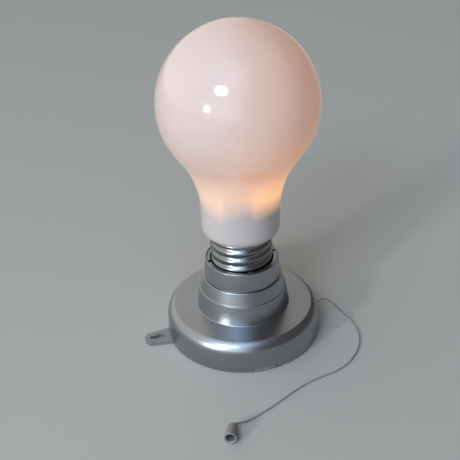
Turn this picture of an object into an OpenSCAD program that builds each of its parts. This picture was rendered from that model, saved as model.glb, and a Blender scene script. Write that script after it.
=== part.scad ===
// Battery-powered pull-cord lamp in the form of a large light bulb standing in a stepped socket base.
// Millimetres, +Z up. The origin is on the surface the lamp stands on, below the bulb's axis.
// -X: hanger tab. -Y: latch of the battery door. +X: exit of the pull cord.

/* [Base] */
// Radius of the skirt at its foot
base_r = 60; // [58:1:76]
// Height of the flat top disc
disc_z = 24.8; // [24:0.2:32]
// Wall of the base moulding
base_wall = 2.2; // [1.6:0.1:2.6]
// Height of the skirt's foot above the surface
skirt_lift = 0.8; // [0.4:0.1:1.2]
// Inward lean of the skirt between its foot and its shoulder
skirt_draft = 0.6; // [0:0.1:1.5]
// Radius of the rounded shoulder
shoulder_r = 10; // [5:0.2:12]

/* [Stepped neck] */
// Height of the lower step
step1_h = 16; // [10:0.5:20]
// Width of the ledge between the steps
ledge_w = 0.8; // [0.6:0.2:4]
// Height of the upper step
step2_h = 10.2; // [6:0.2:16]
// Width of the ledge round the collar's foot
shelf_w = 1.2; // [0.8:0.2:4]
// Inward lean of each step over its height
step_draft = 2.4; // [0:0.1:3]

/* [Socket] */
// Height of the socket collar
collar_h = 15.2; // [14.4:0.2:22]
// Wall of the collar at its lip
collar_wall = 1.3; // [1:0.1:1.8]
// Inward lean of the collar over its height
collar_draft = 1.1; // [0.6:0.1:1.6]
// Wall of the inner sleeve
sleeve_wall = 2.2; // [1.8:0.1:2.4]
// Turn of the bulb between locked and free, in degrees
twist_deg = 30; // [20:1:45]

/* [Bulb] */
// Radius of the round of the globe
globe_r = 57.2; // [47:0.2:70]
// Height of the centre of the round
globe_cz = 190.7; // [182:0.1:205]
// How far the globe's neck stands out over the root of the screw cap
neck_out = 7.5; // [6.5:0.1:9]
// Height at which the neck starts to flare
flare_z = 108; // [104:0.5:116]
// Radius of the rounded bottom of the neck
neck_round = 7; // [5:0.5:10]
// Wall of the blown globe
globe_wall = 1.6; // [1.2:0.1:2.2]
// Root radius of the screw cap
cap_r = 21.9; // [21:0.1:27]
// Height of the thread's ridges over the root
ridge_h = 1.7; // [1:0.1:1.8]
// Pitch of the ridges
ridge_pitch = 7; // [6:0.1:7.5]
// Wall of the screw cap, without its ridges
cap_wall = 2.4; // [1.8:0.1:2.6]

/* [Light] */
// Height of the face that the light board stands on
board_z = 110; // [104:0.5:114]
// Distance between the two lamps
led_gap = 17; // [14:0.5:18]
// Diameter of a lamp's body
led_d = 5; // [3:0.5:6]

/* [Power] */
// Diameter of a cell
cell_d = 14.5; // [12:0.1:14.6]
// Length of a cell
cell_l = 50.5; // [44:0.1:50.5]
// Thickness of the back plate
plate_t = 2.4; // [2.2:0.1:3]
// Thickness of the battery door
door_t = 1.6; // [1.4:0.1:1.8]

/* [Hanger tab] */
// Reach of the tab beyond the skirt
tab_out = 19.8; // [19:0.2:30]
// Width of the tab at the skirt
tab_w = 15.6; // [14:0.2:20]
// Thickness of the tab
tab_t = 3.5; // [3:0.1:4]
// Diameter of the keyhole's wide end
key_wide_d = 6.4; // [5.5:0.1:7]
// Diameter of the keyhole's narrow end
key_narrow_d = 2.8; // [2.4:0.1:4]

/* [Pull] */
// Diameter of the cord
cord_d = 1.3; // [1.1:0.1:1.4]
// Travel of the cord when it is pulled
pull_travel = 6; // [4:0.5:6]
// Height of the cord's exit
exit_z = 8; // [7.6:0.1:8.4]
// Length of the pull on the cord's end
pull_l = 12.5; // [11:0.5:18]
// Diameter of the pull at its open end
pull_d = 9; // [8:0.2:11]
// Diameter of the pull at the cord
pull_back_d = 7; // [6:0.2:7.4]

/* [Hidden] */
$fn = 96;

eps = 0.01;
fit = 0.3;                                      // clearance between parts that stand clear
slip = 0.1;                                     // radial clearance of a screw, pin or stem in its hole

// Base: heights and radii that follow from the driving sizes
rim_r = base_r - skirt_draft;                   // skirt where the shoulder starts
shoulder_x = rim_r - shoulder_r;                // centre of the shoulder's section
shoulder_z = disc_z - 0.9 * shoulder_r;         // the disc cuts the shoulder just below its crown
inside_r = rim_r - base_wall;                   // clear radius inside the skirt
ledge_z = disc_z + step1_h;
top_z = ledge_z + step2_h;                      // seat of the collar
ledge_edge = 0.3;                               // chamfer of the lower step's top edge
shelf_edge = 0.6;                               // chamfer of the upper step's top edge
plate_r = inside_r - 0.4;
boss_r = 47;                                    // circle of the four housing screws
boss_angles = [40, 140, 212, 328];
boss_d = 7;
pocket_z = 6;                                   // top of the plate's screw pockets
pocket_d = 9;
screw_d = 3;
head_d = 5.6;
head_h = 1.8;

// Socket, sized outwards from the screw cap, and the steps below it
sleeve_bore = cap_r + ridge_h + 0.8;
sleeve_r = sleeve_bore + sleeve_wall;
collar_lip_r = sleeve_r + 0.2 + collar_wall;
collar_r = collar_lip_r + collar_draft;
step2_r = collar_r + shelf_w + step_draft;      // foot of the upper step
step1_r = step2_r + ledge_w + step_draft;       // foot of the lower step
floor_t = 2.2;                                  // floor of the collar, and foot of the post
sleeve_z = top_z + floor_t;
lip_z = top_z + collar_h;
sleeve_top = lip_z - 0.6;
post_r = 8;
post_bore = 5.5;
post_foot_r = cap_r - cap_wall - 0.9;
post_screw_r = 14;
post_foot_z = sleeve_z;
neck_hole_r = 8;                                // wires pass up through the neck's top plate

// Bulb
cap_foot = post_foot_z + floor_t + 1.6;
lug_z = cap_foot + 2.4;
lug_d = 2.4;
lug_reach = sleeve_r - 0.5;
window_h = lug_d + 2 * 0.3;
crest_z = lip_z + 0.8;                          // a ridge stands just above the socket's lip
neck_r = cap_r + neck_out;
flare_r = (pow(globe_cz - flare_z, 2) / (globe_r - neck_r) - globe_r - neck_r) / 2;
flare_x = neck_r + flare_r;
cone_a = 62;                                    // lean of the neck's underside from upright
round_z = flare_z - 12.8;                       // centre of the rounded bottom of the neck
seat_z = round_z - neck_round * sin(cone_a) - 1.9;  // top of the screw cap, where the globe sits
spigot_r = cap_r - cap_wall - slip;             // globe's spigot inside the screw cap
spigot_l = 12;

// Light
reflector_r = spigot_r - globe_wall - 1.4;      // passes through the globe's mouth
board_t = 1.6;
board_r = reflector_r - 2;
board_screw_y = 8.5;
led_foot = board_z + board_t;
led_h = 8.6;
rim_z = led_foot + 6;

// Battery bay
wall = 1.4;
bay_x = cell_l / 2 + 2.6;                       // half length inside, with room for the contacts
bay_y1 = -3.5;
cell_pitch = cell_d + fit;
cell_y = [for (i = [0:2]) bay_y1 - 0.25 - cell_d / 2 - i * cell_pitch];
bay_y0 = cell_y[2] - cell_d / 2 - 0.25;
cell_z = plate_t + 0.4 + cell_d / 2;
bay_z = cell_z + cell_d / 2 + 0.9;
door_x = bay_x + 0.7;
door_y0 = bay_y0 - 0.7;
hinge_y = bay_y1 - 0.3;
hinge_z = door_t / 2;
door_corner = 4;
hinge_pin_d = 1.4;
latch_w = 17;
latch_z = 3.2;
latch_gap = 0.5;

// Hanger tab
tab_reach = base_r + tab_out;
key_narrow_x = -(tab_reach - 5.3);
key_wide_x = key_narrow_x + 7.6;

// Switch and cord
switch_x0 = bay_x + wall + 0.8;
switch_l = pull_travel + 11;
switch_w = 14;
switch_h = 11.2;
switch_wall = 1.2;
block_l = 4;
block_w = 8;
block_h = 5;
stem_d = 3.2;
stem_end = switch_x0 + switch_l + 2.6;
spring_d = 5.4;
spring_wire = 0.6;
spring_turns = 6;
block_x = switch_x0 + switch_wall + 0.3;
spring_x0 = block_x + block_l + 0.05;
spring_x1 = switch_x0 + switch_l - switch_wall - 0.05;
bush_r = 3.4;
bush_bore = cord_d / 2 + 0.4;
table_z = cord_d / 2;                           // centreline of the cord where it lies

// Route of the cord from the switch to the pull, in the order it is followed
cord_route = [
    [stem_end - 2.5, 0, exit_z], [54, 0, exit_z], [60, 0, exit_z], [63.5, 0.6, exit_z],
    [67, 2.6, 7.7], [70.5, 4, 6.6], [74, 3.6, 4.6], [77, 1.2, 2.6], [79.2, -2.6, 1.2],
    [80.8, -8, table_z], [82.6, -16, table_z], [83.7, -24, table_z], [83.6, -34, table_z],
    [81.2, -45, table_z], [75.6, -56, table_z], [67.5, -65.2, table_z], [59, -71.8, table_z],
    [49, -76.2, table_z], [38, -78.8, table_z], [28.5, -81, table_z], [19, -84.8, table_z],
    [10, -89.2, table_z], [1, -94, table_z], [-8, -98.6, table_z], [-16.5, -102.4, table_z],
    [-23.5, -105.2, table_z], [-29, -107.2, 1.1], [-33.4, -108.2, 2.2], [-36.6, -109, 3.1],
    [-38.5, -110.3, 3.5], [-39.6, -112.5, 3.6], [-40.6, -114.8, 3.7]];

// Pull, lying on its side with its open end away from the cord
pull_back = [-39.2, -111.5];
pull_turn = -113.5;
pull_lean = atan((pull_d - pull_back_d) / 2 / pull_l);
pull_bore = pull_d - 3;
pull_floor = 3;

// ---- Helpers -------------------------------------------------------------------------------

// Points on an arc about c from angle a0 to a1, in steps of about 3 degrees
function arc(c, r, a0, a1) = let (n = ceil(abs(a1 - a0) / 3))
    [for (i = [0:n]) c + r * [cos(a0 + (a1 - a0) * i / n), sin(a0 + (a1 - a0) * i / n)]];

// Unit vector along v
function unit(v) = v / norm(v);

// Point t of the way from b to c on the smooth curve through a, b, c and d
function curve_point(a, b, c, d, t) =
    0.5 * (2 * b + (c - a) * t + (2 * a - 5 * b + 4 * c - d) * t * t
           + (3 * b - a - 3 * c + d) * t * t * t);

// Every route point, with per - 1 more between each two
function smooth(route, per) = let (n = len(route)) concat(
    [for (i = [0:n - 2]) for (k = [0:per - 1])
        curve_point(route[max(i - 1, 0)], route[i], route[i + 1], route[min(i + 2, n - 1)], k / per)],
    [route[n - 1]]);

// Direction of the path at point i
function heading(path, i) = unit(path[min(i + 1, len(path) - 1)] - path[max(i - 1, 0)]);

// Ring of points round the path at point i; the path never runs along the direction away
function ring(path, i, r, sides, away) = let (
    t = heading(path, i),
    side = unit(cross(t, away)),
    up = cross(side, t))
    [for (k = [0:sides - 1]) path[i] + r * (cos(360 * k / sides) * side + sin(360 * k / sides) * up)];

// Closed round tube along a path
module tube(path, d, sides = 8, away = [0, 0, 1]) {
    n = len(path);
    points = [for (i = [0:n - 1]) each ring(path, i, d / 2, sides, away)];
    walls = [for (i = [0:n - 2]) for (k = [0:sides - 1])
        let (a = i * sides + k, b = i * sides + (k + 1) % sides) [a, b, b + sides, a + sides]];
    polyhedron(points, concat(walls, [[for (k = [sides - 1:-1:0]) k]],
                              [[for (k = [0:sides - 1]) (n - 1) * sides + k]]));
}

// Cylinder along +X from x0 to x1
module rod_x(x0, x1, d) {
    translate([x0, 0, 0]) rotate([0, 90, 0]) cylinder(h = x1 - x0, d = d);
}

// Box from its lowest to its highest corner
module block(low, high) {
    translate(low) cube(high - low);
}

// Children at each given angle on a circle of radius r
module around(angles, r) {
    for (a = angles) rotate([0, 0, a]) translate([r, 0, 0]) children();
}

// Pan-head screw with its tip at the top, its head below z
module screw_up(z, l, d = screw_d, head = head_d) {
    translate([0, 0, z]) cylinder(h = l, d = d);
    translate([0, 0, z - head_h]) cylinder(h = head_h, d = head);
}

// Pan-head screw with its tip at the bottom, its head above z
module screw_down(z, l, d = screw_d, head = head_d) {
    translate([0, 0, z - l]) cylinder(h = l, d = d);
    translate([0, 0, z]) cylinder(h = head_h, d = head);
}

// ---- Base ----------------------------------------------------------------------------------

// Half section of a leaning step of foot radius r between two heights, with its top edge chamfered
module step_outline(r, low, high, edge) {
    r_top = r - step_draft;
    polygon([[0, low - 1], [r, low - 1], [r, low], [r_top, high - edge], [r_top - edge, high], [0, high]]);
}

// Half section of the base's outside, up to the collar's seat
module base_outline() {
    polygon([[0, skirt_lift], [base_r, skirt_lift], [rim_r, shoulder_z], [0, shoulder_z]]);
    intersection() {
        translate([shoulder_x, shoulder_z]) circle(r = shoulder_r);
        square([rim_r, disc_z]);
    }
    square([shoulder_x, disc_z]);
    step_outline(step1_r, disc_z, ledge_z, ledge_edge);
    step_outline(step2_r, ledge_z, top_z, shelf_edge);
}

// Half section of the hollow below the disc and inside the steps
module base_hollow() {
    roof_z = disc_z - base_wall;
    round_r = shoulder_r - base_wall;
    polygon(concat(
        [[0, -1], [inside_r + skirt_draft, -1]],
        arc([shoulder_x, shoulder_z], round_r, 0, asin((roof_z - shoulder_z) / round_r)),
        [[step1_r - base_wall, roof_z], [step1_r - step_draft - base_wall, ledge_z - base_wall],
         [step2_r - base_wall - 0.2, ledge_z - base_wall],
         [step2_r - step_draft - base_wall, top_z - floor_t], [0, top_z - floor_t]]));
}

module base_housing() {
    color("silver") difference() {
        union() {
            rotate_extrude() difference() {
                base_outline();
                base_hollow();
            }
            around(boss_angles, boss_r)
                translate([0, 0, pocket_z]) cylinder(h = disc_z - base_wall / 2 - pocket_z, d = boss_d);
        }
        // Pilot holes of the four housing screws
        around(boss_angles, boss_r) translate([0, 0, pocket_z - 1]) cylinder(h = 12.4, d = screw_d);
        // Way through for the wires, and holes of the post's screws
        translate([0, 0, top_z - floor_t - 1]) cylinder(h = floor_t + 2, r = neck_hole_r);
        around([90, 210, 330], post_screw_r)
            translate([0, 0, top_z - floor_t - 1]) cylinder(h = floor_t + 2, d = screw_d + 2 * slip);
        // Notches in the skirt's foot for the hanger tab and the door's latch
        block([-base_r - 1, -tab_w / 2 - 0.5, -1], [-inside_r + 3, tab_w / 2 + 0.5, tab_t + 0.4]);
        block([-latch_w / 2 - latch_gap, -base_r - 1, -1],
              [latch_w / 2 + latch_gap, -inside_r + 3, latch_z + 0.4]);
        // Hole of the cord's bush
        translate([0, 0, exit_z]) rod_x(inside_r - 2, base_r + 2, 2 * (bush_r - 1.2) + 2 * slip);
    }
}

// Tab's outline, with a chamfered end
module tab_outline() {
    polygon([[-inside_r + 4, -tab_w / 2], [-base_r, -tab_w / 2], [-(tab_reach - 3.2), -tab_w / 2 + 2.2],
             [-tab_reach, -1.8], [-tab_reach, 1.8], [-(tab_reach - 3.2), tab_w / 2 - 2.2],
             [-base_r, tab_w / 2], [-inside_r + 4, tab_w / 2]]);
}

// Keyhole, wide towards the skirt. The straight sides start just inside the two rounds.
module keyhole() {
    d = key_wide_x - key_narrow_x;
    a = acos((key_wide_d - key_narrow_d) / 2 / d);
    inset = 0.97;
    translate([key_wide_x, 0]) circle(d = key_wide_d);
    translate([key_narrow_x, 0]) circle(d = key_narrow_d);
    polygon([for (p = [[key_wide_x, key_wide_d / 2, 180 - a], [key_narrow_x, key_narrow_d / 2, 180 - a],
                       [key_narrow_x, key_narrow_d / 2, 180 + a], [key_wide_x, key_wide_d / 2, 180 + a]])
             [p[0] + inset * p[1] * cos(p[2]), inset * p[1] * sin(p[2])]]);
}

// Outline of the battery door, grown by g all round
module door_outline(g = 0) {
    x = door_x + g;
    y = door_y0 - g;
    c = door_corner;
    polygon([[-x, hinge_y], [-x, y + c], [-x + c, y], [x - c, y], [x, y + c], [x, hinge_y]]);
}

module back_plate() {
    color("gainsboro") difference() {
        union() {
            cylinder(h = plate_t, r = plate_r);
            linear_extrude(tab_t) tab_outline();
            around(boss_angles, boss_r) cylinder(h = pocket_z, d = pocket_d);
            // Walls and roof of the battery bay, trimmed to the room inside the housing
            intersection() {
                block([-bay_x - wall, bay_y0 - wall, 0], [bay_x + wall, bay_y1 + wall, bay_z + wall]);
                rotate_extrude() intersection() {
                    translate([-fit, 0]) base_hollow();
                    square([base_r, disc_z]);
                }
            }
            // Bosses of the switch's screws
            for (y = [-1, 1]) translate([switch_x0 + switch_l / 2, y * (switch_w / 2 + 2.6), 0])
                cylinder(h = pocket_z, d = 5);
        }
        // Room for the cells and the door
        block([-bay_x, bay_y0, -1], [bay_x, bay_y1, bay_z]);
        translate([0, 0, -1]) linear_extrude(1 + door_t + fit) door_outline(fit);
        block([-door_x - fit, hinge_y - eps, -1], [door_x + fit, hinge_y + door_t / 2 + fit, door_t + fit]);
        block([-latch_w / 2 - latch_gap, -base_r, -1],
              [latch_w / 2 + latch_gap, door_y0, plate_t + 1]);
        // Slots that the door's hinge pins snap into
        for (s = [-1, 1]) {
            translate([s * (door_x + 0.9), hinge_y, hinge_z])
                rotate([0, 90, 0]) cylinder(h = 2.4, d = hinge_pin_d + 2 * slip, center = true);
            translate([s * (door_x + 0.9), hinge_y, 0])
                cube([2.4, hinge_pin_d + 2 * slip, 2 * hinge_z], center = true);
        }
        // Pockets and holes of the housing screws
        around(boss_angles, boss_r) {
            translate([0, 0, -1]) cylinder(h = 1 + pocket_z - 2, d = head_d + 0.8);
            cylinder(h = pocket_z + 1, d = screw_d + 2 * slip);
        }
        for (y = [-1, 1]) translate([switch_x0 + switch_l / 2, y * (switch_w / 2 + 2.6), 1.4])
            cylinder(h = pocket_z, d = 2);
        // Keyhole
        translate([0, 0, -1]) linear_extrude(tab_t + 2) keyhole();
    }
}

module housing_screws() {
    color("dimgray") around(boss_angles, boss_r) screw_up(pocket_z - 2, 10);
}

// ---- Battery door and cells ----------------------------------------------------------------

module battery_door() {
    color("gainsboro") union() {
        difference() {
            linear_extrude(door_t) door_outline();
            block([-door_x - 1, hinge_y - hinge_z, -1], [door_x + 1, hinge_y + 1, door_t + 1]);
        }
        // Rounded hinge edge with a pin at each end
        block([-door_x, hinge_y - hinge_z - eps, 0], [door_x, hinge_y, door_t]);
        translate([0, hinge_y, hinge_z]) rod_x(-door_x, door_x, door_t);
        translate([0, hinge_y, hinge_z]) rod_x(-door_x - 1.6, door_x + 1.6, hinge_pin_d);
        // Tongue out to the notch in the skirt
        block([-latch_w / 2, -plate_r - 0.2, 0], [latch_w / 2, door_y0 + 1, door_t]);
        // Finger strip that shows in the notch
        intersection() {
            difference() {
                translate([0, 0, latch_gap]) cylinder(h = latch_z - latch_gap, r = base_r - 0.4);
                cylinder(h = latch_z, r = plate_r - 0.6);
            }
            block([-latch_w / 2, -base_r, 0], [latch_w / 2, -base_r / 2, latch_z]);
        }
        // Springy leaf with its barb, just outside the bay
        block([-5, bay_y0 - wall - 2.6, door_t - eps], [5, bay_y0 - wall - 1.4, 7]);
        block([-5, bay_y0 - wall - 1.5, 5.4], [5, bay_y0 - wall - 0.6, 6.4]);
        // Ribs that press on the cells
        for (y = cell_y) block([-12, y - 0.6, door_t - eps], [12, y + 0.6, plate_t + 0.2]);
    }
}

// Cell i of the bay, its cap towards +X and -X in turn
module cell(i) {
    color("orange") translate([0, cell_y[i], cell_z]) rotate([0, 0, i % 2 == 0 ? 0 : 180]) {
        rod_x(-cell_l / 2, cell_l / 2 - 1.2, cell_d);
        rod_x(cell_l / 2 - 1.3, cell_l / 2, 5.5);
    }
}

module battery_1() {
    cell(0);
}

module battery_2() {
    cell(1);
}

module battery_3() {
    cell(2);
}

// Side of the bay that the minus end of cell i faces
function minus_side(i) = i % 2 == 0 ? -1 : 1;

module spring_contacts() {
    color("silver") for (i = [0:2]) {
        s = minus_side(i);
        translate([s * (bay_x - 0.3), cell_y[i], cell_z]) cube([0.5, 10, 10], center = true);
        translate([s * (bay_x - 1.3), cell_y[i], cell_z]) rotate([0, 90, 0]) difference() {
            cylinder(h = 1.7, d1 = 7, d2 = 7, center = true);
            cylinder(h = 2, d = 5.4, center = true);
        }
    }
}

module plate_contacts() {
    color("silver") for (i = [0:2]) {
        s = -minus_side(i);
        translate([s * (bay_x - 0.3), cell_y[i], cell_z]) cube([0.5, 10, 10], center = true);
        translate([s * (bay_x - 1.4), cell_y[i], cell_z])
            rotate([0, 90, 0]) cylinder(h = 1.9, d = 5, center = true);
    }
}

// ---- Switch and cord -----------------------------------------------------------------------

module switch_body() {
    x1 = switch_x0 + switch_l;
    color("ivory") difference() {
        union() {
            block([switch_x0, -switch_w / 2, plate_t], [x1, switch_w / 2, plate_t + switch_h]);
            for (y = [-1, 1]) translate([switch_x0 + switch_l / 2, y * (switch_w / 2 + 2.6), pocket_z])
                cylinder(h = 1.6, d = 5.2);
            block([switch_x0 + switch_l / 2 - 2.6, -switch_w / 2 - 2.6, pocket_z],
                  [switch_x0 + switch_l / 2 + 2.6, switch_w / 2 + 2.6, pocket_z + 1.6]);
        }
        block([switch_x0 + switch_wall, -block_w / 2 - fit, exit_z - block_h / 2 - fit],
              [x1 - switch_wall, block_w / 2 + fit, plate_t + switch_h + 1]);
        translate([0, 0, exit_z]) rod_x(x1 - 3, x1 + 1, stem_d + 2 * fit);
        for (y = [-1, 1]) translate([switch_x0 + switch_l / 2, y * (switch_w / 2 + 2.6), pocket_z - 1])
            cylinder(h = 4, d = 2 + 2 * slip);
    }
}

module switch_cover() {
    z = plate_t + switch_h;
    color("dimgray") {
        block([switch_x0, -switch_w / 2, z], [switch_x0 + switch_l, switch_w / 2, z + 1.2]);
        block([switch_x0 + switch_wall + fit, -block_w / 2, z - 1.2],
              [switch_x0 + switch_l - switch_wall - fit, block_w / 2, z + eps]);
    }
}

module switch_screws() {
    color("dimgray") for (y = [-1, 1])
        translate([switch_x0 + switch_l / 2, y * (switch_w / 2 + 2.6), 0])
            screw_down(pocket_z + 1.6, 5, 2, 3.8);
}

module switch_slider() {
    color("white") difference() {
        union() {
            block([block_x, -block_w / 2, exit_z - block_h / 2],
                  [block_x + block_l, block_w / 2, exit_z + block_h / 2]);
            translate([0, 0, exit_z]) rod_x(block_x + block_l - eps, stem_end, stem_d);
        }
        translate([0, 0, exit_z]) rod_x(stem_end - 2.7, stem_end + 1, cord_d + 2 * slip);
    }
}

// Return spring round the stem
module return_spring() {
    steps = 12;
    r = (spring_d - spring_wire) / 2;
    n = spring_turns * steps;
    l = spring_x1 - spring_x0 - spring_wire;
    path = [for (i = [0:n]) [spring_x0 + spring_wire / 2 + l * i / n,
                             r * cos(360 * i / steps), exit_z + r * sin(360 * i / steps)]];
    color("silver") tube(path, spring_wire, 6, [1, 0, 0]);
}

module cord_bush() {
    color("gray") translate([0, 0, exit_z]) difference() {
        union() {
            rod_x(inside_r - 0.8, base_r + 0.2, 2 * (bush_r - 1.2));
            rod_x(base_r - 0.1, base_r + 0.7, 2 * bush_r);
            rod_x(inside_r - 1.2, inside_r - 0.4, 2 * bush_r - 0.6);
        }
        rod_x(inside_r - 3, base_r + 3, 2 * bush_bore);
    }
}

module pull_cord() {
    color("lightgray") tube(smooth(cord_route, 2), cord_d);
}

// Moves its children to the pull's axis, +X from the cord's end to the open end
module on_pull() {
    translate([pull_back[0], pull_back[1], pull_back_d / 2]) rotate([0, 0, pull_turn])
        rotate([0, -pull_lean, 0]) children();
}

module pull() {
    color("darkgray") on_pull() rotate([0, 90, 0]) difference() {
        union() {
            cylinder(h = pull_l, d1 = pull_back_d, d2 = pull_d);
        }
        translate([0, 0, pull_floor]) cylinder(h = pull_l, d = pull_bore);
        translate([0, 0, pull_l - 0.8]) cylinder(h = 0.8 + eps, d1 = pull_bore, d2 = pull_bore + 1.2);
        translate([0, 0, -1]) cylinder(h = pull_floor + 2, d = cord_d + 0.9);
    }
}

module cord_knot() {
    color("lightgray") on_pull() translate([pull_floor + 1.8, 0, 0]) sphere(d = 3.4);
}

// ---- Socket and post -----------------------------------------------------------------------

module socket_collar() {
    color("silver") difference() {
        rotate_extrude() difference() {
            union() {
                polygon([[0, top_z], [collar_r - 0.4, top_z], [collar_r - 0.4, top_z + 0.6],
                         [collar_r, top_z + 0.6], [collar_lip_r, lip_z - 0.6], [0, lip_z - 0.6]]);
                polygon([[0, lip_z - 0.6], [collar_lip_r, lip_z - 0.6], [collar_lip_r - 0.35, lip_z],
                         [0, lip_z]]);
            }
            polygon([[0, sleeve_z], [sleeve_r + 0.2, sleeve_z], [collar_lip_r - collar_wall, lip_z + 1],
                     [0, lip_z + 1]]);
        }
        translate([0, 0, top_z - 1]) cylinder(h = floor_t + 2, r = neck_hole_r);
        around([90, 210, 330], post_screw_r)
            translate([0, 0, top_z - 1]) cylinder(h = floor_t + 2, d = screw_d + 2 * slip);
    }
}

// Inner sleeve with the two L-shaped slots of the bulb's twist lock
module socket_sleeve() {
    entry_w = lug_d + 0.6;
    pin_half = asin((lug_d / 2 + 0.4) / sleeve_bore);
    color("silver") union() {
        difference() {
            translate([0, 0, sleeve_z]) cylinder(h = sleeve_top - sleeve_z, r = sleeve_r);
            translate([0, 0, sleeve_z - 1]) cylinder(h = lip_z, r = sleeve_bore);
            for (a = [0, 180]) rotate([0, 0, a]) {
                block([sleeve_bore - 2, -entry_w / 2, lug_z], [sleeve_r - 0.3, entry_w / 2, lip_z]);
                translate([0, 0, lug_z - window_h / 2]) rotate([0, 0, -twist_deg - pin_half])
                    rotate_extrude(angle = twist_deg + 2 * pin_half)
                        translate([sleeve_bore - 2, 0]) square([sleeve_wall + 4, window_h]);
            }
        }
        // Index rib on the sleeve's rim
        block([-1.4, -sleeve_r + 0.6, sleeve_top - 2], [1.4, -sleeve_bore - 0.02, sleeve_top + 0.9]);
    }
}

module lamp_post() {
    foot_top = post_foot_z + floor_t;
    color("whitesmoke") difference() {
        union() {
            translate([0, 0, post_foot_z]) cylinder(h = floor_t, r = post_foot_r);
            translate([0, 0, post_foot_z]) cylinder(h = board_z - post_foot_z, r = post_r);
            translate([0, 0, board_z - 2]) cylinder(h = 2, r = board_screw_y + 2.4);
            translate([0, 0, board_z - 6]) cylinder(h = 4 + eps, r1 = post_r, r2 = board_screw_y + 2.4);
            around([90, 210, 330], post_screw_r)
                translate([0, 0, post_foot_z]) cylinder(h = 8, d = 6.4);
            for (a = [30, 150, 270]) rotate([0, 0, a])
                block([post_bore + 1, -0.8, foot_top - eps], [post_foot_r - 2.5, 0.8, foot_top + 10]);
        }
        translate([0, 0, post_foot_z - 1]) cylinder(h = board_z, r = post_bore);
        around([90, 210, 330], post_screw_r)
            translate([0, 0, post_foot_z - 1]) cylinder(h = 8, d = screw_d);
        for (y = [-1, 1]) translate([0, y * board_screw_y, board_z - 5]) cylinder(h = 6, d = 2);
    }
}

module post_screws() {
    color("dimgray") around([90, 210, 330], post_screw_r) screw_up(top_z - floor_t, 10);
}

// ---- Light ---------------------------------------------------------------------------------

module led_board() {
    color("darkgreen") translate([0, 0, board_z]) difference() {
        cylinder(h = board_t, r = board_r);
        translate([0, 0, -1]) cylinder(h = board_t + 2, r = 2.5);
        for (y = [-1, 1]) translate([0, y * board_screw_y, -1])
            cylinder(h = board_t + 2, d = 2 + 2 * slip);
    }
}

// One round-nosed lamp
module led() {
    cylinder(h = 1, d = led_d + 0.8);
    cylinder(h = led_h - led_d / 2, d = led_d);
    translate([0, 0, led_h - led_d / 2]) sphere(d = led_d);
}

module led_1() { color("lightyellow") translate([-led_gap / 2, 0, led_foot]) led(); }
module led_2() { color("lightyellow") translate([led_gap / 2, 0, led_foot]) led(); }

module reflector() {
    color("white") difference() {
        union() {
            translate([0, 0, led_foot]) cylinder(h = 2.2, r = reflector_r);
            translate([0, 0, led_foot]) difference() {
                cylinder(h = rim_z - led_foot, r = reflector_r);
                translate([0, 0, 2]) cylinder(h = rim_z, r = reflector_r - 1.2);
            }
        }
        for (s = [-1, 1]) translate([s * led_gap / 2, 0, led_foot - 1])
            cylinder(h = 6, d = led_d + 1.6);
        for (y = [-1, 1]) translate([0, y * board_screw_y, led_foot - 1])
            cylinder(h = 6, d = 2 + 2 * slip);
    }
}

module board_screws() {
    color("dimgray") for (y = [-1, 1]) translate([0, y * board_screw_y, 0])
        screw_down(led_foot + 2.2, 7, 2, 3.8);
}

wire_d = 1.4;

module wire_red() {
    path = [[switch_x0 + 4, 5.9, plate_t + switch_h + 2], [26, 6, 20.6], [12, 4, 24], [4, 2, 34],
            [2.4, 1.6, 48], [2, 1.6, 70], [2, 1.6, 92], [2, 1.4, board_z - 1]];
    color("red") tube(smooth(path, 2), wire_d, 8, [0, 1, 0]);
}

module wire_black() {
    path = [[-bay_x - wall - 1.2, -10, 14], [-bay_x - wall - 1.6, -3, 17.4],
            [-bay_x + 1.8, 1.6, 20.4], [-18, 2, 21.4], [-8, 1, 26], [-3.4, -1, 36],
            [-2.4, -1.6, 48], [-2, -1.6, 70], [-2, -1.6, 92], [-2, -1.4, board_z - 1]];
    color("black") tube(smooth(path, 2), wire_d, 8, [0, 1, 0]);
}

module wire_switch() {
    path = [[bay_x + wall + 1.2, -11, 14], [bay_x + wall + 3, -10.6, 16], [switch_x0 + 6, -9.6, 16.6],
            [switch_x0 + 9, -7.2, 16.2], [switch_x0 + 10, -4.4, plate_t + switch_h + 2.1]];
    color("dimgray") tube(smooth(path, 2), wire_d);
}

// ---- Bulb ----------------------------------------------------------------------------------

module thread_cap() {
    color("lightsteelblue") union() {
        rotate_extrude() difference() {
            union() {
                translate([0, cap_foot]) square([cap_r, seat_z - cap_foot]);
                for (i = [-1:2]) translate([cap_r + ridge_h - 2.6, crest_z + i * ridge_pitch])
                    intersection() {
                        circle(r = 2.6);
                        translate([0, -ridge_pitch]) square([4, 2 * ridge_pitch]);
                    }
            }
            translate([0, cap_foot - 1]) square([cap_r - cap_wall, seat_z]);
            translate([0, seat_z]) square([2 * cap_r, 10]);
        }
        // Lugs of the twist lock, at the closed end of the sleeve's slots
        around([-twist_deg, 180 - twist_deg], cap_r - 1) translate([0, 0, lug_z])
            rod_x(0, lug_reach - cap_r + 1, lug_d);
    }
}

// Half section of the globe from its crown to its seat, moved inwards by g. The round runs into
// the flare where the line between their centres crosses both, and the neck's rounded bottom
// runs into the leaning underside.
function globe_side(g) = let (
    meet_a = atan2(flare_z - globe_cz, flare_x),
    bottom = arc([neck_r - neck_round, round_z], neck_round - g, 0, -cone_a),
    low = bottom[len(bottom) - 1],
    drop = low[1] - seat_z - g)
    concat(arc([0, globe_cz], globe_r - g, 90, meet_a),
           arc([flare_x, flare_z], flare_r + g, meet_a + 180, 180),
           bottom,
           [low - drop * [tan(cone_a), 1]]);

function reversed(points) = [for (i = [len(points) - 1:-1:0]) points[i]];

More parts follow.
